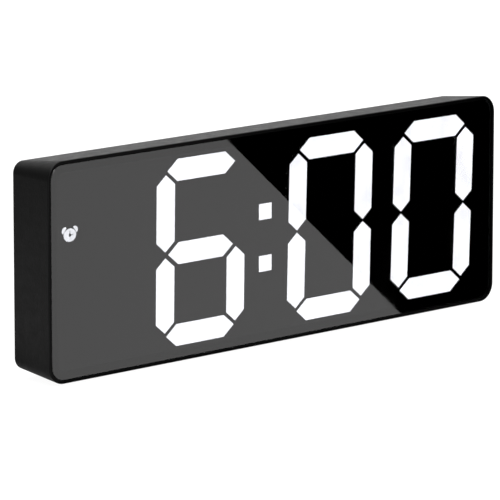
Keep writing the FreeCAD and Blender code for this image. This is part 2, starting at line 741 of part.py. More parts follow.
for i, label in enumerate(BUTTONS):
    x = button_x(i)
    b = body(label)
    s = sketch(b, -S("button_proud"))
    stadium(s, x, BY, S("button_long") / 2, S("button_high") / 2)
    p = pad(b, s, S("button_proud") + S("cover_thick") + 0.15)
    doc.recompute()
    dress(b, "Fillet", p, level_edges(p, -S("button_proud").value), 0.45)
    s = sketch(b, S("cover_thick") + 0.15)
    stadium(s, x, BY, S("button_long") / 2 + 0.8, S("button_high") / 2 + 0.8)
    pad(b, s, 0.9)
    s = sketch(b, S("cover_thick") + 1.0)
    circle(s, x, BY, 2.0)
    pad(b, s, S("plunger_end") - S("cover_thick") - 1.0)
    # sunk sign on the cap: ring, three bars, triangle up, triangle down
    s = sketch(b, S("sign_deep") - S("button_proud"))
    if label == "mode_button":
        circle(s, x, BY, 1.15)
        circle(s, x, BY, 0.7)
    elif label == "set_button":
        for j in (-1, 0, 1):
            y = BY + 0.85 * j
            rect(s, x - 1.2, y - 0.2, x + 1.2, y + 0.2)
    else:
        k = 1 if label == "up_button" else -1
        polygon(s, [(x - 1.3, BY - 0.95 * k), (x + 1.3, BY - 0.95 * k), (x, BY + 1.15 * k)])
    pocket(b, s, S("sign_deep") + 0.1)

# ---------------------------------------------------------------- rear cover: plate, posts, battery bay, openings
b = body("rear_cover")
CT = S("cover_thick")
s = sketch(b, 0)
rounded(s, 0, MID, S("cover_x") - S("cover_gap"), S("cover_y") - S("cover_gap"), 2.0)
p = pad(b, s, CT)
doc.recompute()
dress(b, "Chamfer", p, level_edges(p, 0.0), 0.25)
s = sketch(b, CT)
for sx in (-1, 1):
    for sy in (-1, 1):
        circle(s, CX * sx, MID + CY * sy, 3.4)
pad(b, s, 1.6)
s = sketch(b, CT)
for x, y in posts:
    circle(s, x, y, S("post_r"))
pad(b, s, board_back - CT)
BX, BL, BH, BWL = S("bay_x"), S("bay_low"), S("bay_high"), S("bay_wall")
s = sketch(b, CT)
rounded(s, 0, (BL + BH) / 2, BX + BWL, (BH - BL) / 2 + BWL, 1.2)
pad(b, s, S("bay_floor") + S("bay_floor_thick") - CT)
s = sketch(b, S("bay_floor"))
rounded(s, 0, (BL + BH) / 2, BX, (BH - BL) / 2, 0.6)
pocket(b, s, S("bay_floor") + 0.1)
DX, DL, DH, DT = S("door_x"), S("door_low"), S("door_high"), S("door_thick")
s = sketch(b, DT + 0.1)
rounded(s, 0, (DL + DH) / 2 - 0.05, DX + 0.2, (DH - DL) / 2 + 0.25, 1.5)
pocket(b, s, DT + 0.2)
s = sketch(b, 4.2)
for sx in (-1, 1):
    x = S("tab_x") * sx
    w2 = S("tab_wide") / 2 + 0.3
    rect(s, x - w2, DL - 0.3, x + w2, BL + 0.1)
pocket(b, s, 4.3)
# thumb scoop over the door's latch
s = sketch(b, 0.9)
stadium(s, 0, DH + 0.2, 7.5, 3.2)
pocket(b, s, 1.0)
# shallow dish round the row of buttons, and the four button openings
s = sketch(b, 0.5)
stadium(s, (button_x(0) + button_x(3)) / 2, BY, S("button_pitch") * 1.5 + 6.6, 3.9)
pocket(b, s, 0.6)
s = sketch(b, CT)
for i in range(4):
    stadium(s, button_x(i), BY, S("button_long") / 2 + S("button_play"), S("button_high") / 2 + S("button_play"))
pocket(b, s, CT + 0.1)
# screw counterbores and through holes
s = sketch(b, S("case_bore_deep"))
for sx in (-1, 1):
    for sy in (-1, 1):
        circle(s, CX * sx, MID + CY * sy, S("case_bore_r"))
pocket(b, s, S("case_bore_deep") + 0.1)
s = sketch(b, CT + 1.6)
for sx in (-1, 1):
    for sy in (-1, 1):
        circle(s, CX * sx, MID + CY * sy, 1.3)
pocket(b, s, CT + 1.7)
s = sketch(b, board_back)
for x, y in posts:
    circle(s, x, y, S("board_pilot_r"))
pocket(b, s, 8.5)
# sound holes over the buzzer: one in the middle and a ring of six
s = sketch(b, CT)
circle(s, S("buzzer_x"), S("buzzer_y"), S("sound_hole_r"))
pocket(b, s, CT + 0.1)
s = sketch(b, CT, x=S("buzzer_x"), y=S("buzzer_y"))
circle(s, S("sound_ring_r"), 0, S("sound_hole_r"))
hole = pocket(b, s, CT + 0.1)
ring = b.newObject("PartDesign::PolarPattern", "sound_hole_ring")
ring.Originals = [hole]
ring.Axis = (s, ["N_Axis"])
ring.Angle = 360.0
ring.Occurrences = 6
b.Tip = ring
# opening for the power inlet
s = sketch(b, CT)
stadium(s, IX, IY, IW / 2 + 0.35, IH / 2 + 0.35)
pocket(b, s, CT + 0.1)

WAY = [1, -1, 1]          # which end each cell's positive button points to

# ---------------------------------------------------------------- battery door with two hinge tabs and a sprung latch tongue
b = body("battery_door")
s = sketch(b, 0)
rounded(s, 0, (DL + DH) / 2, DX, (DH - DL) / 2, 1.3)
p = pad(b, s, DT)
doc.recompute()
dress(b, "Chamfer", p, level_edges(p, 0.0), 0.2)
s = sketch(b, DT)
for sx in (-1, 1):
    x = S("tab_x") * sx
    w2 = S("tab_wide") / 2
    rect(s, x - w2, DL, x + w2, DL + 1.4)
pad(b, s, 1.8)
s = sketch(b, DT + 0.9)
for sx in (-1, 1):
    x = S("tab_x") * sx
    w2 = S("tab_wide") / 2
    rect(s, x - w2, DL - 1.7, x + w2, DL + 0.5)
pad(b, s, 0.9)
# slits either side of the latch tongue, open at the door's top edge
s = sketch(b, DT)
for sx in (-1, 1):
    rect(s, 5.9 * sx - 0.4, DH - 7.5, 5.9 * sx + 0.4, DH + 0.5)
pocket(b, s, DT + 0.1)
# latch nose on the inside of the tongue
s = sketch(b, DT)
rect(s, -4.0, DH - 3.2, 4.0, DH - 2.2)
pad(b, s, 1.2)
# grip grooves on the tongue
s = sketch(b, 0.4)
rect(s, -4.2, DH - 2.0, 4.2, DH - 1.4)
groove = pocket(b, s, 0.5)
rows = b.newObject("PartDesign::LinearPattern", "grip_grooves")
rows.Originals = [groove]
rows.Direction = (s, ["V_Axis"])
rows.Reversed = True
rows.Length = 4.0
rows.Occurrences = 5
b.Tip = rows
# sunk arrow under the tongue
s = sketch(b, S("sign_deep"))
polygon(s, [(Q.of(-1.9), DH - 13.0), (Q.of(1.9), DH - 13.0), (Q.of(0), DH - 10.0)])
pocket(b, s, S("sign_deep") + 0.1)
# polarity signs on the inside, one pair for each cell
s = sketch(b, DT)
for i, k in enumerate(WAY):
    y = S("cell_first") + S("cell_pitch") * i
    x = Q.of(17.0 * k)
    polygon(s, [(x + px, y + py) for px, py in (
        (0.35, 0.35), (1.6, 0.35), (1.6, -0.35), (0.35, -0.35), (0.35, -1.6), (-0.35, -1.6),
        (-0.35, -0.35), (-1.6, -0.35), (-1.6, 0.35), (-0.35, 0.35), (-0.35, 1.6), (0.35, 1.6))])
    rect(s, -x - 1.6, y - 0.35, -x + 1.6, y + 0.35)
pocket(b, s, S("sign_deep"))

# ---------------------------------------------------------------- cells, contact plates and springs
CR, CL, LV = S("cell_r"), S("cell_long"), S("cell_level")
inner = BX - S("plate_thick")
cell_y = [S("cell_first") + S("cell_pitch") * i for i in range(3)]
b = body("battery_cells")
for i in range(3):
    k = WAY[i]
    tip = inner - S("dimple")             # end of the positive button, from the middle
    s = sketch(b, LV, x=Q.of(0), y=cell_y[i])
    pts = [(tip, 0), (tip, 1.9), (tip - 0.8, 1.9), (tip - 0.8, CR - 0.9), (tip - 1.1, CR - 0.4), (tip - 1.6, CR),
           (tip - CL + 0.6, CR), (tip - CL, CR - 0.6), (tip - CL, 0)]
    polygon(s, [(Q.of(x) * k, y) for x, y in pts])
    revolve(b, s, "H_Axis")

b = body("contact_plates")
# single plate, two bridging plates, single plate
for side, ys in ((-1, (0, 0)), (1, (0, 1)), (-1, (1, 2)), (1, (2, 2))):
    s = sketch(b, 2.4)
    x0, x1 = (inner, BX) if side > 0 else (-BX, -inner)
    rect(s, x0, cell_y[ys[0]] - 4.2, x1, cell_y[ys[1]] + 4.2)
    pad(b, s, 9.2)
for i in range(3):
    s = sketch(b, WAY[i] * inner if WAY[i] > 0 else -inner, plane="YZ_Plane")
    # the sketch plane stands across the bay: sketch x runs up the clock and sketch y runs to the front
    circle(s, cell_y[i], LV, 2.2)
    p = pad(b, s, S("dimple") - 0.05)
    p.Reversed = WAY[i] > 0

springs = doc.addObject("Part::Feature", "contact_springs")
springs.Label = "contact_springs"
coils = []
wire_r = 0.3
for i in range(3):
    k = WAY[i]
    start = -k * (inner.value - wire_r - 0.02)                    # at the negative end
    stop = k * (inner.value - S("dimple").value - CL.value) - k * (wire_r + 0.02)
    span = abs(stop - start)
    turns = 3.5
    helix = Part.makeHelix(span / turns, span, 3.4)
    # the wire's section is drawn as a twelve-sided ring of the same area as the round wire
    tangent = V(0, 3.4, span / turns / (2 * math.pi)).normalize()
    out = V(1, 0, 0)
    across = tangent.cross(out).normalize()
    reach = wire_r * math.sqrt(math.pi / (6 * math.sin(math.pi / 6)))
    corners = [V(3.4, 0, 0) + out * (reach * math.cos(a)) + across * (reach * math.sin(a))
               for a in [math.pi / 6 * (j + 0.5) for j in range(12)]]
    ring_w = Part.makePolygon(corners + corners[:1])
    coil = Part.Wire(helix.Edges).makePipeShell([ring_w], True, True)
    coil.rotate(V(0, 0, 0), V(0, 1, 0), 90 if stop > start else -90)
    coil.translate(V(start, cell_y[i].value, LV.value))
    coils.append(coil)
springs.Shape = Part.makeCompound(coils)
stand(springs)
nodes.append(springs)

# ---------------------------------------------------------------- fasteners
b = body("case_screws")
s = sketch(b, S("case_bore_deep") - 1.5)
for sx in (-1, 1):
    for sy in (-1, 1):
        circle(s, CX * sx, MID + CY * sy, S("case_head_r"))
p = pad(b, s, 1.5)
doc.recompute()
dress(b, "Fillet", p, level_edges(p, (S("case_bore_deep") - 1.5).value), 0.5)
s = sketch(b, S("case_bore_deep") - 0.2)
for sx in (-1, 1):
    for sy in (-1, 1):
        circle(s, CX * sx, MID + CY * sy, S("case_shank_r"))
pad(b, s, 7.2)


def cross(s, x, y, arm=1.25, half=0.32):
    pts = [(half, half), (arm, half), (arm, -half), (half, -half), (half, -arm), (-half, -arm), (-half, -half),
           (-arm, -half), (-arm, half), (-half, half), (-half, arm), (half, arm)]
    polygon(s, [(Q.of(x) + a, Q.of(y) + c) for a, c in pts])


s = sketch(b, S("case_bore_deep") - 0.7)
for sx in (-1, 1):
    for sy in (-1, 1):
        cross(s, CX * sx, MID + CY * sy)
pocket(b, s, 1.0)

b = body("board_screws")
s = sketch(b, board_face)
for x, y in posts:
    circle(s, x, y, S("board_head_r"))
p = pad(b, s, 1.4)
doc.recompute()
dress(b, "Fillet", p, level_edges(p, (board_face + 1.4).value), 0.45)
s = sketch(b, board_face - 7.0)
for x, y in posts:
    circle(s, x, y, S("board_shank_r"))
pad(b, s, 7.2)
s = sketch(b, board_face + 1.5)
for x, y in posts:
    cross(s, x, y, 1.1, 0.28)
pocket(b, s, 0.8)

# ---------------------------------------------------------------- rubber feet: wedges that level the drafted underside
b = body("rubber_feet")
for side in (-1, 1):
    s = sketch(b, S("foot_x") * side - S("foot_long") / 2, plane="YZ_Plane")
    f0, f1 = S("foot_back"), S("foot_front")
    polygon(s, [(-S("foot_rise"), f0), (-S("foot_rise"), f1), (lean(f1), f1), (lean(f0), f0)])
    pad(b, s, S("foot_long"))
doc.recompute()
up = []
for i, e in enumerate(b.Tip.Shape.Edges, start=1):
    bb = e.BoundBox
    if bb.YLength > 0.5 and bb.XLength < 1e-4 and bb.ZLength < 1e-4:
        up.append("Edge%d" % i)
dress(b, "Fillet", b.Tip, up, 1.6)

# ---------------------------------------------------------------- check everything, then write one file per piece
doc.recompute()
bad = [o.Name for o in doc.Objects if "Invalid" in o.State or "Error" in o.State]
if bad:
    raise RuntimeError("failed objects: %s" % bad)
for cut, before in cuts:
    if not cut.Shape.Volume < before.Shape.Volume - 1e-4:
        raise RuntimeError("%s cuts nothing" % cut.Name)
labels = [o.Label for o in nodes]
if len(set(labels)) != len(labels) or len(labels) > 60:
    raise RuntimeError("names clash, or there are too many pieces")
for o in nodes:
    if o.Shape.isNull() or not o.Shape.isValid() or not o.Shape.Solids:
        raise RuntimeError("bad shape: %s" % o.Label)
os.makedirs("parts", exist_ok=True)
for o in nodes:
    o.Shape.exportStep("parts/%s.step" % o.Label)
    bb = o.Shape.BoundBox
    print("%-24s solids %2d  volume %9.2f  x %7.2f %7.2f  y %6.2f %6.2f  z %6.2f %6.2f" % (
        o.Label, len(o.Shape.Solids), o.Shape.Volume, bb.XMin, bb.XMax, bb.YMin, bb.YMax, bb.ZMin, bb.ZMax))
print(len(nodes), "pieces")
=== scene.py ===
import math

import bpy
from mathutils import Matrix, Vector


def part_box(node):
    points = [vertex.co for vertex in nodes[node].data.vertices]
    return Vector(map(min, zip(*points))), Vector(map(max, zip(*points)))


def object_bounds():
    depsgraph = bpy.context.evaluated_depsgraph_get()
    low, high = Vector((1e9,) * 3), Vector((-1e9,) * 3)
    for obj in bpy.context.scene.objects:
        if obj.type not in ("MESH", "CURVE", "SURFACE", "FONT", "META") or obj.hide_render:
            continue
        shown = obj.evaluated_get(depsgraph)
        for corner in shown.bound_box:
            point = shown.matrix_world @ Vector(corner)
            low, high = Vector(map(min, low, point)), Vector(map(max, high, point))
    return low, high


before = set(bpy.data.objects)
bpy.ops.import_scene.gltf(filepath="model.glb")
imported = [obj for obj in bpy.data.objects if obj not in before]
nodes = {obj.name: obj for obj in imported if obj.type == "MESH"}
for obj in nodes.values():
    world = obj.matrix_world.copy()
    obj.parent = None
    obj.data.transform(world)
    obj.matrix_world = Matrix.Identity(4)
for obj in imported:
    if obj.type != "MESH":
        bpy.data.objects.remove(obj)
cad_low, cad_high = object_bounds()
scene = bpy.context.scene
MM = 0.001


# ------------------------------------------------------------------ node helpers
class Mat:
    """One procedural material. Lengths inside it are millimetres in the object's own frame."""

    def __init__(self, name):
        self.m = bpy.data.materials.new(name)
        self.m.use_nodes = True
        self.nt = self.m.node_tree
        self.bsdf = next(n for n in self.nt.nodes if n.type == "BSDF_PRINCIPLED")
        tc = self.nt.nodes.new("ShaderNodeTexCoord")
        s = self.nt.nodes.new("ShaderNodeVectorMath")
        s.operation = "SCALE"
        s.inputs["Scale"].default_value = 1000.0
        self.nt.links.new(tc.outputs["Object"], s.inputs[0])
        self.mm = s.outputs[0]
        self.last_bump = None
        self._xyz = None

    def set(self, **values):
        for key, value in values.items():
            socket = self.bsdf.inputs[key.replace("_", " ")]
            if socket.type == "RGBA" and len(value) == 3:
                value = (*value, 1.0)
            socket.default_value = value
        return self

    def link(self, a, b):
        self.nt.links.new(a, b)
        return self

    def into(self, key, out):
        self.nt.links.new(out, self.bsdf.inputs[key.replace("_", " ")])
        return self

    def xyz(self):
        if self._xyz is None:
            n = self.nt.nodes.new("ShaderNodeSeparateXYZ")
            self.nt.links.new(self.mm, n.inputs[0])
            self._xyz = n.outputs
        return self._xyz

    def stretch(self, x, y, z):
        n = self.nt.nodes.new("ShaderNodeVectorMath")
        n.operation = "MULTIPLY"
        n.inputs[1].default_value = (x, y, z)
        self.nt.links.new(self.mm, n.inputs[0])
        return n.outputs[0]

    def facing(self, axis, start, full):
        """1 where the surface faces along that axis of the object, 0 elsewhere."""
        tc = next(n for n in self.nt.nodes if n.type == "TEX_COORD")
        d = self.nt.nodes.new("ShaderNodeVectorMath")
        d.operation = "DOT_PRODUCT"
        d.inputs[1].default_value = axis
        self.nt.links.new(tc.outputs["Normal"], d.inputs[0])
        return self.span(d.outputs["Value"], start, full)

    def noise(self, scale, detail=2.0, rough=0.5, distort=0.0, vector=None):
        n = self.nt.nodes.new("ShaderNodeTexNoise")
        n.inputs["Scale"].default_value = scale
        n.inputs["Detail"].default_value = detail
        n.inputs["Roughness"].default_value = rough
        n.inputs["Distortion"].default_value = distort
        self.nt.links.new(vector or self.mm, n.inputs["Vector"])
        return n.outputs["Fac"]

    def cells(self, scale, feature="F1", out="Distance", vector=None, random=1.0):
        n = self.nt.nodes.new("ShaderNodeTexVoronoi")
        n.feature = feature
        n.inputs["Scale"].default_value = scale
        n.inputs["Randomness"].default_value = random
        self.nt.links.new(vector or self.mm, n.inputs["Vector"])
        return n.outputs[out]

    def span(self, value, a, b, lo=0.0, hi=1.0, smooth=False):
        """value going from a to b comes out going from lo to hi, and stays there beyond."""
        n = self.nt.nodes.new("ShaderNodeMapRange")
        n.interpolation_type = "SMOOTHSTEP" if smooth else "LINEAR"
        n.clamp = True
        for key, v in (("From Min", a), ("From Max", b), ("To Min", lo), ("To Max", hi)):
            n.inputs[key].default_value = v
        self.nt.links.new(value, n.inputs["Value"])
        return n.outputs["Result"]

    def math(self, op, a, b=None, c=None):
        n = self.nt.nodes.new("ShaderNodeMath")
        n.operation = op
        for i, v in enumerate((a, b, c)):
            if v is None:
                continue
            if isinstance(v, (int, float)):
                n.inputs[i].default_value = v
            else:
                self.nt.links.new(v, n.inputs[i])
        return n.outputs[0]

    def mix(self, fac, a, b):
        n = self.nt.nodes.new("ShaderNodeMix")
        n.data_type = "RGBA"
        ins = [i for i in n.inputs if i.enabled]
        if isinstance(fac, (int, float)):
            n.inputs[0].default_value = fac
        else:
            self.nt.links.new(fac, n.inputs[0])
        for socket, v in ((n.inputs[6], a), (n.inputs[7], b)):
            if isinstance(v, tuple):
                socket.default_value = (*v, 1.0) if len(v) == 3 else v
            else:
                self.nt.links.new(v, socket)
        return n.outputs[2]

    def bump(self, height, depth_mm, strength=1.0):
        n = self.nt.nodes.new("ShaderNodeBump")
        n.inputs["Strength"].default_value = strength
        n.inputs["Distance"].default_value = depth_mm * MM
        self.nt.links.new(height, n.inputs["Height"])
        if self.last_bump is not None:
            self.nt.links.new(self.last_bump, n.inputs["Normal"])
        self.last_bump = n.outputs["Normal"]
        self.nt.links.new(self.last_bump, self.bsdf.inputs["Normal"])
        return self

    def round_edges(self, radius_mm):
        """Sharp corners catch the light as if they were moulded with this radius."""
        b = self.nt.nodes.new("ShaderNodeBevel")
        b.samples = 6
        b.inputs["Radius"].default_value = radius_mm * MM
        self.last_bump = b.outputs[0]

    def edges(self, radius_mm, lo=0.02, hi=0.25):
        """1 along convex and concave edges, 0 on flat faces."""
        b = self.nt.nodes.new("ShaderNodeBevel")
        b.samples = 4
        b.inputs["Radius"].default_value = radius_mm * MM
        g = self.nt.nodes.new("ShaderNodeNewGeometry")
        d = self.nt.nodes.new("ShaderNodeVectorMath")
        d.operation = "DOT_PRODUCT"
        self.nt.links.new(b.outputs[0], d.inputs[0])
        self.nt.links.new(g.outputs["Normal"], d.inputs[1])
        off = self.math("SUBTRACT", 1.0, d.outputs["Value"])
        return self.span(off, lo, hi)


def paint(names, mat):
    for name in names:
        mesh = nodes[name].data
        mesh.materials.clear()
        mesh.materials.append(mat.m)


# ------------------------------------------------------------------ materials
def moulded(name, dark, light, rough, grain, depth, rub=0.5, ior=1.46, polished=None, edge_wear_highlight=None, radius=None):
    """Textured injection-moulded plastic: fine spark-eroded grain, slow changes of sheen, edges rubbed smoother and
    lighter; the lighter edges are partly wear and partly a painted highlight.
    """
    m = Mat(name)
    m.set(IOR=ior)
    slow = m.noise(0.045, 3.0, 0.6)
    patch = m.noise(0.35, 4.0, 0.65, 0.4)
    fine = m.noise(grain, 3.0, 0.6)
    leather = m.noise(grain * 0.42, 2.0, 0.55, 0.3)
    pits = m.cells(grain * 0.8)
    tone = m.math("MULTIPLY_ADD", slow, 0.55, m.math("MULTIPLY_ADD", fine, 0.25, m.math("MULTIPLY", leather, 0.20)))
    edge = m.edges(0.5)
    base = m.mix(m.span(tone, 0.35, 0.65), dark, light)
    # edge colour: partly rubbed wear, partly a painted highlight standing in for the light that edges catch
    worn = edge_wear_highlight or tuple(min(1.0, c * 1.9 + 0.004) for c in light)
    if radius:
        m.round_edges(radius)
    # painted highlight: edges and corners are lighter in colour, partly wear, partly standing in for the light they
    # catch
    wear_highlight_mask = m.math("MULTIPLY", edge, m.span(patch, 0.42, 0.62, 0.15, rub))
    # hair-fine handling marks that run one way, in a few rubbed areas only
    hairs = m.noise(1.0, 2.0, 0.6, 0.15, m.stretch(0.10, 1.0, 4.5))
    marks = m.math("MULTIPLY", m.span(hairs, 0.66, 0.74), m.span(patch, 0.50, 0.62))
    m.into("Base Color", m.mix(m.math("MAXIMUM", wear_highlight_mask, m.math("MULTIPLY", marks, 0.35)), base, worn))
    r = m.math("MULTIPLY_ADD", m.span(patch, 0.35, 0.65), 0.10, rough - 0.05)
    r = m.math("MULTIPLY_ADD", marks, -0.08, r)
    r = m.math("MULTIPLY_ADD", m.span(fine, 0.3, 0.7), 0.07, r)
    r = m.math("MULTIPLY_ADD", edge, -0.10, r)
    if polished:
        # the faces along that axis come from a polished part of the mould and are smoother; the specular tint cuts
        # their reflection to a tenth, a painted shade that makes them deeper black
        smooth_dimmed_face = m.facing(polished, 0.86, 0.97)
        r = m.math("MULTIPLY_ADD", smooth_dimmed_face, m.math("SUBTRACT", 0.14, r), r)
        # painted shade: the specular tint darkens the reflection on these faces
        m.into("Specular Tint", m.mix(smooth_dimmed_face, (1.0, 1.0, 1.0), (0.10, 0.10, 0.10)))
        dull = m.math("SUBTRACT", 1.0, smooth_dimmed_face)
        pits = m.math("MULTIPLY", pits, dull)
        leather = m.math("MULTIPLY", leather, dull)
        fine = m.math("MULTIPLY", fine, m.math("MULTIPLY_ADD", smooth_dimmed_face, -0.9, 1.0))
    m.into("Roughness", r)
    m.bump(pits, depth * 0.7)
    m.bump(leather, depth * 1.6)
    m.bump(fine, depth)
    return m


# the case's front rim gets the dimmed reflection, a painted shade
case = moulded("case_plastic", (0.0008, 0.0008, 0.0008), (0.0016, 0.0016, 0.0016), 0.40, 2.6, 0.020, ior=1.2, polished=(0, -1, 0))
# the pale edge colours of cover and door are partly wear and partly a painted highlight
cover = moulded("cover_plastic", (0.010, 0.010, 0.0104), (0.019, 0.019, 0.0196), 0.48, 2.2, 0.045, edge_wear_highlight=(0.085, 0.085, 0.087), radius=0.30)
door = moulded("door_plastic", (0.012, 0.012, 0.0124), (0.021, 0.021, 0.0216), 0.45, 2.4, 0.042, edge_wear_highlight=(0.095, 0.095, 0.097), radius=0.25)
paint(["housing"], case)
paint(["rear_cover"], cover)
paint(["battery_door"], door)

# the pale edge colour of the buttons is partly wear and partly a painted highlight
button = moulded("button_plastic", (0.019, 0.019, 0.0196), (0.030, 0.030, 0.031), 0.36, 3.4, 0.016, 0.8, edge_wear_highlight=(0.11, 0.11, 0.113), radius=0.20)
paint(["mode_button", "set_button", "up_button", "down_button"], button)

# smoked acrylic panel, polished, with the faint waviness and hairlines of a wiped sheet
panel = Mat("smoked_panel")
panel.set(Base_Color=(0.050, 0.050, 0.052), Transmission_Weight=1.0, IOR=1.49)
film = panel.noise(0.03, 3.0, 0.6, 0.6)
wiped = panel.noise(1.0, 2.0, 0.5, 0.0, panel.stretch(0.25, 1.0, 6.0))
r = panel.math("MULTIPLY_ADD", panel.span(film, 0.45, 0.75), 0.012, 0.004)
r = panel.math("MULTIPLY_ADD", panel.span(wiped, 0.62, 0.80), 0.010, r)
panel.into("Roughness", r)
paint(["front_panel"], panel)

tape = Mat("black_tape")
tape.set(Roughness=0.75, Specular_IOR_Level=0.05)
tape.into("Base Color", tape.mix(tape.noise(1.2, 4.0), (0.006, 0.006, 0.006), (0.014, 0.014, 0.014)))
tape.bump(tape.noise(3.0, 3.0), 0.02)
paint(["panel_tape"], tape)

mask = Mat("mask_film")
mask.set(Roughness=0.7, Specular_IOR_Level=0.05)
mask.into("Base Color", mask.mix(mask.noise(0.8, 3.0), (0.002, 0.002, 0.002), (0.0045, 0.0045, 0.0046)))
mask.bump(mask.noise(4.0, 2.0), 0.004)
paint(["segment_mask"], mask)

box_white = Mat("white_plastic")
box_white.set(Roughness=0.45)
box_white.into("Base Color", box_white.mix(box_white.noise(0.5, 3.0), (0.72, 0.72, 0.70), (0.82, 0.82, 0.80)))
box_white.bump(box_white.noise(2.2, 2.0), 0.01)
paint(["light_box"], box_white)

# lit diffusing resin: the glow swells a little over each chip and mottles with the diffuser
lit = Mat("lit_segment")
lit.set(Base_Color=(0.85, 0.86, 0.88), Roughness=0.5)
lit.into("Emission Color", lit.mix(lit.noise(0.25, 2.0), (0.96, 0.98, 1.0), (1.0, 1.0, 1.0)))
lit.into("Emission Strength", lit.span(lit.noise(0.12, 3.0, 0.55), 0.3, 0.7, 20.0, 24.5))
lit.bump(lit.noise(3.0, 2.0), 0.006)
paint(["hour_segments", "minute_tens_segments", "minute_units_segments", "colon_dots"], lit)

# the symbol is fed by one chip, so it is a little dimmer; its dial has a printed hub and two thin hands
symbol = Mat("lit_symbol")
symbol.set(Base_Color=(0.85, 0.86, 0.88), Roughness=0.5)
lo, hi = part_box("alarm_symbol")
hub_x, hub_z = (lo.x + hi.x) / 2 / MM, lo.z / MM + 1.9
x, y, z = symbol.xyz()
dx, dz = symbol.math("SUBTRACT", x, hub_x), symbol.math("SUBTRACT", z, hub_z)
far = symbol.math("SQRT", symbol.math("ADD", symbol.math("MULTIPLY", dx, dx), symbol.math("MULTIPLY", dz, dz)))
hub = symbol.span(far, 0.42, 0.56, 0.0, 1.0)
up = symbol.math("MAXIMUM", symbol.span(symbol.math("ABSOLUTE", dx), 0.10, 0.17), symbol.span(symbol.math("ABSOLUTE", symbol.math("SUBTRACT", dz, 0.65)), 0.62, 0.70))
side = symbol.math("MAXIMUM", symbol.span(symbol.math("ABSOLUTE", dz), 0.10, 0.17), symbol.span(symbol.math("ABSOLUTE", symbol.math("SUBTRACT", dx, 0.60)), 0.56, 0.64))
shape = symbol.math("MINIMUM", hub, symbol.math("MINIMUM", symbol.math("MAXIMUM", up, 0.25), symbol.math("MAXIMUM", side, 0.25)))
glowing = symbol.span(symbol.noise(0.5, 2.0), 0.3, 0.7, 15.5, 19.5)
symbol.set(Emission_Color=(0.97, 0.985, 1.0))
symbol.into("Emission Strength", symbol.math("MULTIPLY", shape, glowing))
symbol.bump(symbol.noise(3.0, 2.0), 0.006)
paint(["alarm_symbol"], symbol)

unlit = Mat("dark_segment")
unlit.set(Roughness=0.6, Specular_IOR_Level=0.2)
unlit.into("Base Color", unlit.mix(unlit.noise(0.8, 3.0), (0.003, 0.003, 0.0032), (0.006, 0.006, 0.0062)))
unlit.bump(unlit.noise(3.0, 2.0), 0.006)
paint(["unlit_segments"], unlit)

# circuit board: green mask over woven glass, with buried tracks that show as a paler green
board = Mat("board")
board.set(Roughness=0.32)
x, y, z = board.xyz()
track = board.cells(0.16, "DISTANCE_TO_EDGE", "Distance", board.stretch(1.0, 1.0, 1.0), 0.35)
lines = board.span(track, 0.03, 0.06, 1.0, 0.0)
weave = board.noise(2.5, 3.0)
green = board.mix(lines, (0.008, 0.055, 0.020), (0.020, 0.120, 0.040))
board.into("Base Color", board.mix(board.span(weave, 0.45, 0.6, 0.0, 0.25), green, (0.030, 0.140, 0.055)))
board.bump(track, 0.03)
board.bump(weave, 0.008)
paint(["main_board"], board)


def plain(name, a, b, scale, rough, depth, metal=0.0, detail=3.0, **more):
    m = Mat(name)
    m.set(Metallic=metal, **more)
    n = m.noise(scale, detail)
    m.into("Base Color", m.mix(n, a, b))
    m.into("Roughness", m.span(m.noise(scale * 2.3, 2.0), 0.3, 0.7, rough[0], rough[1]))
    m.bump(n, depth)
    return m


paint(["led_chips"], plain("led_body", (0.75, 0.72, 0.35), (0.85, 0.84, 0.66), 2.0, (0.3, 0.45), 0.01))
paint(["controller_chip", "driver_transistors"], plain("chip_black", (0.012, 0.012, 0.013), (0.022, 0.022, 0.023), 3.0, (0.5, 0.65), 0.015))
paint(["chip_resistors"], plain("resistor_body", (0.015, 0.015, 0.017), (0.03, 0.03, 0.033), 3.0, (0.3, 0.5), 0.01))
paint(["chip_capacitors"], plain("capacitor_body", (0.30, 0.20, 0.11), (0.42, 0.29, 0.17), 2.5, (0.4, 0.55), 0.01))
paint(["clock_crystal", "filter_capacitor"], plain("can_aluminium", (0.62, 0.62, 0.63), (0.74, 0.74, 0.75), 1.5, (0.22, 0.38), 0.006, 1.0))
paint(["buzzer"], plain("buzzer_plastic", (0.010, 0.010, 0.011), (0.018, 0.018, 0.019), 2.0, (0.35, 0.5), 0.015))
paint(["tact_switches"], plain("switch_case", (0.014, 0.014, 0.015), (0.026, 0.026, 0.028), 2.0, (0.35, 0.5), 0.01))
paint(["mode_plunger", "set_plunger", "up_plunger", "down_plunger"], plain("plunger_plastic", (0.30, 0.02, 0.015), (0.40, 0.035, 0.025), 2.0, (0.3, 0.42), 0.008))

# plated steel: drawn strip with fine lines along it and a few dull patches
steel = Mat("plated_steel")
steel.set(Metallic=1.0)
line = steel.noise(1.0, 2.0, 0.5, 0.0, steel.stretch(0.5, 6.0, 0.5))
dull = steel.noise(0.6, 4.0, 0.6)
steel.into("Base Color", steel.mix(dull, (0.52, 0.51, 0.48), (0.68, 0.67, 0.64)))
steel.into("Roughness", steel.span(dull, 0.3, 0.7, 0.20, 0.38))
steel.bump(line, 0.006)
paint(["contact_plates", "contact_springs", "inlet_shell"], steel)
paint(["inlet_tongue"], plain("inlet_plastic", (0.012, 0.012, 0.012), (0.022, 0.022, 0.022), 2.0, (0.4, 0.5), 0.01))

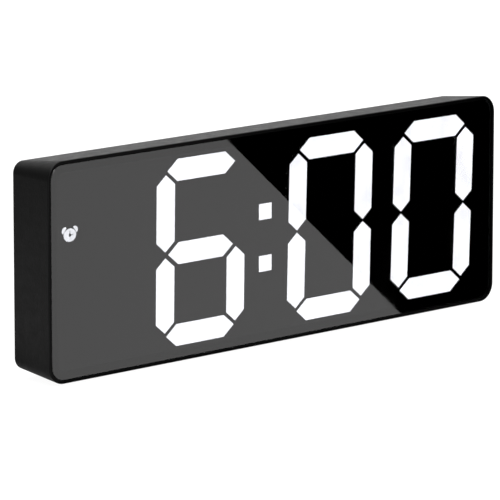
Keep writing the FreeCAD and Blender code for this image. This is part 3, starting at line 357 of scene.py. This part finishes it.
# black-oxide screws: dark metal, rubbed bright where the driver and the bore touch them
screw = Mat("screw_steel")
screw.set(Metallic=1.0)
worn = screw.edges(0.3)
ring = screw.noise(2.0, 4.0, 0.6)
screw.into("Base Color", screw.mix(screw.math("MULTIPLY", worn, screw.span(ring, 0.4, 0.6, 0.2, 0.9)), (0.055, 0.054, 0.052), (0.40, 0.39, 0.37)))
screw.into("Roughness", screw.span(ring, 0.3, 0.7, 0.28, 0.46))
screw.bump(ring, 0.006)
paint(["case_screws", "board_screws"], screw)

rubber = Mat("foot_rubber")
rubber.set(Specular_IOR_Level=0.3)
dusty = rubber.noise(0.5, 4.0, 0.6)
rubber.into("Base Color", rubber.mix(rubber.span(dusty, 0.45, 0.7), (0.010, 0.010, 0.010), (0.028, 0.027, 0.026)))
rubber.into("Roughness", rubber.span(dusty, 0.3, 0.7, 0.70, 0.88))
rubber.bump(rubber.noise(2.5, 3.0), 0.03)
paint(["rubber_feet"], rubber)

# cells: printed sleeve with a copper band at the positive end, bare can ends; the middle one lies the other way
cell = Mat("cell_can")
x, y, z = cell.xyz()
lo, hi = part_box("battery_cells")
middle = cell.span(cell.math("ABSOLUTE", cell.math("SUBTRACT", z, (lo.z + hi.z) / 2 / MM)), 5.2, 5.3, -1.0, 1.0)
x = cell.math("MULTIPLY", x, middle)
ax = cell.math("ABSOLUTE", x)
sleeve = cell.span(ax, 22.0, 22.3, 1.0, 0.0)
scuff = cell.noise(1.2, 4.0, 0.6)
band = cell.span(x, 8.0, 8.2)
tone = cell.mix(band, (0.015, 0.016, 0.018), (0.30, 0.145, 0.050))
tone = cell.mix(cell.span(scuff, 0.62, 0.8, 0.0, 0.35), tone, (0.30, 0.30, 0.30))
cell.into("Base Color", cell.mix(sleeve, (0.62, 0.61, 0.58), tone))
cell.into("Metallic", cell.span(ax, 22.0, 22.3))
cell.into("Roughness", cell.span(scuff, 0.3, 0.7, 0.22, 0.40))
cell.bump(scuff, 0.01)
paint(["battery_cells"], cell)


# ------------------------------------------------------------------ camera
def axes(yaw, pitch, roll):
    back = Vector((math.sin(yaw) * math.cos(pitch), -math.cos(yaw) * math.cos(pitch), math.sin(pitch)))
    right = Vector((0, 0, 1)).cross(back).normalized()
    up = back.cross(right)
    c, s = math.cos(roll), math.sin(roll)
    return c * right + s * up, -s * right + c * up, back


cam_data = bpy.data.cameras.new("camera")
cam_data.sensor_width = 36.0
cam_data.sensor_fit = "HORIZONTAL"
cam_data.lens = 333.16
cam_data.clip_start = 0.05
cam_data.clip_end = 30.0
cam = bpy.data.objects.new("camera", cam_data)
scene.collection.objects.link(cam)
cx, cy, cz = axes(math.radians(-43.87), math.radians(10.72), math.radians(0.02))
eye = Vector((-947.53, -981.40, 285.03)) * MM
cam.matrix_world = Matrix((
    (cx.x, cy.x, cz.x, eye.x),
    (cx.y, cy.y, cz.y, eye.y),
    (cx.z, cy.z, cz.z, eye.z),
    (0, 0, 0, 1)))
scene.camera = cam


# ------------------------------------------------------------------ stage: floor, backdrop, cards and lights
def flat_mesh(name, points):
    mesh = bpy.data.meshes.new(name)
    mesh.from_pydata([tuple(p) for p in points], [], [tuple(range(len(points)))])
    mesh.update()
    ob = bpy.data.objects.new(name, mesh)
    scene.collection.objects.link(ob)
    return ob


def only_mirrored(ob):
    """A card that is there for reflections alone, on the panel's face and inside it."""
    ob.visible_camera = False
    ob.visible_diffuse = False
    ob.visible_volume_scatter = False
    ob.visible_shadow = False


def glow(name, level):
    m = bpy.data.materials.new(name)
    m.use_nodes = True
    nt = m.node_tree
    nt.nodes.clear()
    e = nt.nodes.new("ShaderNodeEmission")
    e.inputs["Color"].default_value = (1, 1, 1, 1)
    e.inputs["Strength"].default_value = level
    o = nt.nodes.new("ShaderNodeOutputMaterial")
    nt.links.new(e.outputs[0], o.inputs["Surface"])
    return m


floor_mat = bpy.data.materials.new("floor")
floor_mat.use_nodes = True
fb = next(n for n in floor_mat.node_tree.nodes if n.type == "BSDF_PRINCIPLED")
fb.inputs["Base Color"].default_value = (0.07, 0.07, 0.07, 1)
fb.inputs["Emission Color"].default_value = (1, 1, 1, 1)
fb.inputs["Emission Strength"].default_value = 0.96
fb.inputs["Roughness"].default_value = 0.9
fb.inputs["Specular IOR Level"].default_value = 0.0
R = 5.0
floor = flat_mesh("floor", [(R * math.cos(a), R * math.sin(a), 0) for a in [math.tau * i / 48 for i in range(48)]])
floor.data.materials.append(floor_mat)

# plain white surround, seen by the camera only
dome = bpy.data.meshes.new("surround")
n, rings = 48, 12
pts, faces = [], []
for j in range(rings + 1):
    el = math.pi / 2 * j / rings
    for i in range(n):
        a = math.tau * i / n
        pts.append((R * math.cos(el) * math.cos(a), R * math.cos(el) * math.sin(a), R * math.sin(el) - 0.02))
for j in range(rings):
    for i in range(n):
        k = (i + 1) % n
        faces.append((j * n + i, j * n + k, (j + 1) * n + k, (j + 1) * n + i))
dome.from_pydata(pts, [], faces)
dome.update()
surround = bpy.data.objects.new("surround", dome)
scene.collection.objects.link(surround)
dome.materials.append(glow("surround", 1.15))
surround.visible_diffuse = surround.visible_glossy = surround.visible_transmission = False
surround.visible_shadow = surround.visible_volume_scatter = False

world = bpy.data.worlds.new("studio")
scene.world = world
world.use_nodes = True
world.node_tree.nodes["Background"].inputs["Color"].default_value = (1, 1, 1, 1)
world.node_tree.nodes["Background"].inputs["Strength"].default_value = 0.45


def softbox(name, place, look, size, power):
    d = bpy.data.lights.new(name, "AREA")
    d.shape = "RECTANGLE"
    d.size, d.size_y = size
    d.energy = power
    ob = bpy.data.objects.new(name, d)
    scene.collection.objects.link(ob)
    ob.location = place
    ob.rotation_euler = (Vector(look) - Vector(place)).to_track_quat("-Z", "Y").to_euler()
    return ob


softbox("top_box", (0.1, 0.2, 1.6), (0, 0, 0), (2.4, 2.4), 60.0)
# a soft light that rakes across the back from one side, so that its low relief can be read
rake = softbox("rake_box", (1.15, 0.75, 0.70), (0, 0, 0.03), (0.5, 0.5), 75.0)
rake.visible_glossy = False


# What the glossy surfaces mirror: a dome of soft bright and dark areas, like the walls and cards of a studio
def dome_mat():
    m = bpy.data.materials.new("studio_walls")
    m.use_nodes = True
    nt = m.node_tree
    nt.nodes.clear()

    def node(kind, **inputs):
        n = nt.nodes.new(kind)
        for key, v in inputs.items():
            n.inputs[int(key[1:])].default_value = v
        return n

    tc = nt.nodes.new("ShaderNodeTexCoord")
    unit = nt.nodes.new("ShaderNodeVectorMath")
    unit.operation = "NORMALIZE"
    nt.links.new(tc.outputs["Object"], unit.inputs[0])

    def toward(direction, start, full):
        """0 away from that direction, 1 close to it: start and full are degrees off it."""
        d = nt.nodes.new("ShaderNodeVectorMath")
        d.operation = "DOT_PRODUCT"
        d.inputs[1].default_value = Vector(direction).normalized()
        nt.links.new(unit.outputs[0], d.inputs[0])
        r = nt.nodes.new("ShaderNodeMapRange")
        r.interpolation_type = "SMOOTHSTEP"
        r.inputs["From Min"].default_value = math.cos(math.radians(start))
        r.inputs["From Max"].default_value = math.cos(math.radians(full))
        nt.links.new(d.outputs["Value"], r.inputs["Value"])
        return r.outputs["Result"]

    level = None
    for direction, start, full, value in DOME:
        mix = nt.nodes.new("ShaderNodeMix")
        mix.data_type = "FLOAT"
        nt.links.new(toward(direction, start, full), mix.inputs[0])
        if level is None:
            mix.inputs[2].default_value = BASE
        else:
            nt.links.new(level, mix.inputs[2])
        mix.inputs[3].default_value = value
        level = mix.outputs[0]
    e = nt.nodes.new("ShaderNodeEmission")
    nt.links.new(level, e.inputs["Strength"])
    o = nt.nodes.new("ShaderNodeOutputMaterial")
    nt.links.new(e.outputs[0], o.inputs["Surface"])
    return m


BASE = 0.50
# direction, degrees off it where the area starts and where it is full, radiance
DOME = [
    ((0.15, -1.0, -0.35), 75, 55, 1.55),      # lit table to the front
    ((0.68, 0.71, 0.19), 45, 18, 0.80),       # pale screen behind, to the right
    ((0.80, -0.05, -0.60), 38, 20, 2.6),      # right, low
    ((0.50, 0.75, -0.45), 40, 15, 1.5),       # behind, low
    ((-0.72, 0.66, -0.20), 62, 30, 0.23),     # dark side
    ((-0.45, -0.42, 0.78), 18, 8, 12.0),      # small lamp, high on the left
    ((0.96, 0.22, -0.16), 28, 12, 6.0),       # soft lamp, level on the right
]
ball = bpy.data.meshes.new("studio_walls")
rows, cols, RB = 48, 96, 4.0
pts = [(0.0, 0.0, RB)]
for j in range(1, rows):
    t = math.pi * j / rows
    pts += [(RB * math.sin(t) * math.cos(math.tau * i / cols), RB * math.sin(t) * math.sin(math.tau * i / cols), RB * math.cos(t)) for i in range(cols)]
pts.append((0.0, 0.0, -RB))
faces = [(0, 1 + i, 1 + (i + 1) % cols) for i in range(cols)]
for j in range(rows - 2):
    u, v = 1 + j * cols, 1 + (j + 1) * cols
    faces += [(u + i, v + i, v + (i + 1) % cols, u + (i + 1) % cols) for i in range(cols)]
last = 1 + (rows - 2) * cols
faces += [(len(pts) - 1, last + (i + 1) % cols, last + i) for i in range(cols)]
ball.from_pydata(pts, [], faces)
ball.update()
walls = bpy.data.objects.new("studio_walls", ball)
scene.collection.objects.link(walls)
ball.materials.append(dome_mat())
only_mirrored(walls)
floor.visible_glossy = floor.visible_transmission = False


def in_mirror(x, z, wall):
    """The point of the upright plane y = wall that is seen in the panel at (x, z), from the camera."""
    face = cad_low.y + 0.0001
    p = Vector((x, face, z))
    d = p - eye
    d.y = -d.y
    return p + d * ((wall - face) / d.y)


# a dull card lies beside the clock on the left, so that the side is a little lighter towards its foot
near_left = flat_mesh("near_left", [(-0.100, -0.02, 0.001), (-0.100, 0.22, 0.001), (-0.28, 0.22, 0.001), (-0.28, -0.02, 0.001)])
near_left.data.materials.append(glow("near_left", 0.95))
only_mirrored(near_left)

# and a paler one lies on the right
near_right = flat_mesh("near_right", [(0.101, 0.0, 0.001), (0.30, 0.0, 0.001), (0.30, 0.22, 0.001), (0.101, 0.22, 0.001)])
near_right.data.materials.append(glow("near_right", 4.0))
only_mirrored(near_right)

# the table is dark right under the clock, where no light gets in
under = flat_mesh("contact", [(-0.102, -0.013, 0.0002), (0.102, -0.013, 0.0002), (0.102, 0.016, 0.0002), (-0.102, 0.016, 0.0002)])
under.data.materials.append(glow("contact", 0.45))
only_mirrored(under)

# The panel's two tones: a black flag stands to the right, and its straight edge crosses the panel
WALL = -1.0
top = in_mirror(-0.0224, 0.0641, WALL)
low = in_mirror(0.0515, 0.00125, WALL)
run = low - top
a = top - run * 3.0
b = low + run * 1.5
flag = flat_mesh("flag", [(a.x, WALL, a.z), (b.x, WALL, b.z), (b.x + 2.2, WALL, b.z), (b.x + 2.2, WALL, a.z)])
flag.data.materials.append(glow("flag", 0.0))
only_mirrored(flag)

scene.view_settings.view_transform = "Standard"
